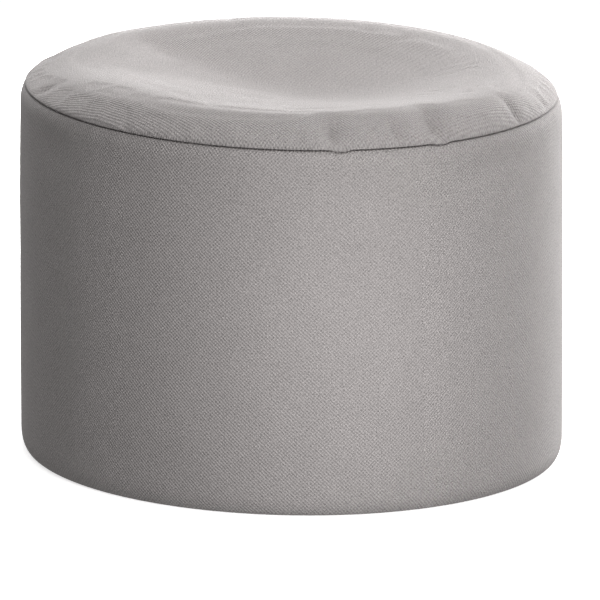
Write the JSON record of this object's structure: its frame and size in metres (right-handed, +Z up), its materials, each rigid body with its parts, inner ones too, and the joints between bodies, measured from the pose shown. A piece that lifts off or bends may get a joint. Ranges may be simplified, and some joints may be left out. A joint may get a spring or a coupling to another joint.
{
  "type": "outdoor pouf",
  "caption": "Round filled cloth drum to sit on or rest feet on, with a slack sat-in top disc sewn to a plain side strip and a flat base disc.",
  "frame": {"origin": "on the floor under the middle of the drum", "axes": "+Z up along the drum's axis, +X to the viewer's right, -Y towards the viewer"},
  "size_m": [0.606, 0.6019, 0.4394],
  "materials": {
    "top_cloth": "matt taupe-grey plain weave of light and dark yarns",
    "side_cloth": "the same matt taupe-grey plain weave, grain upright",
    "base_cloth": "the same matt taupe-grey plain weave, laid flat"
  },
  "bodies": {
    "root": {"top_panel": "top_cloth", "side_panel": "side_cloth", "base_panel": "base_cloth"}
  },
  "joints": []
}
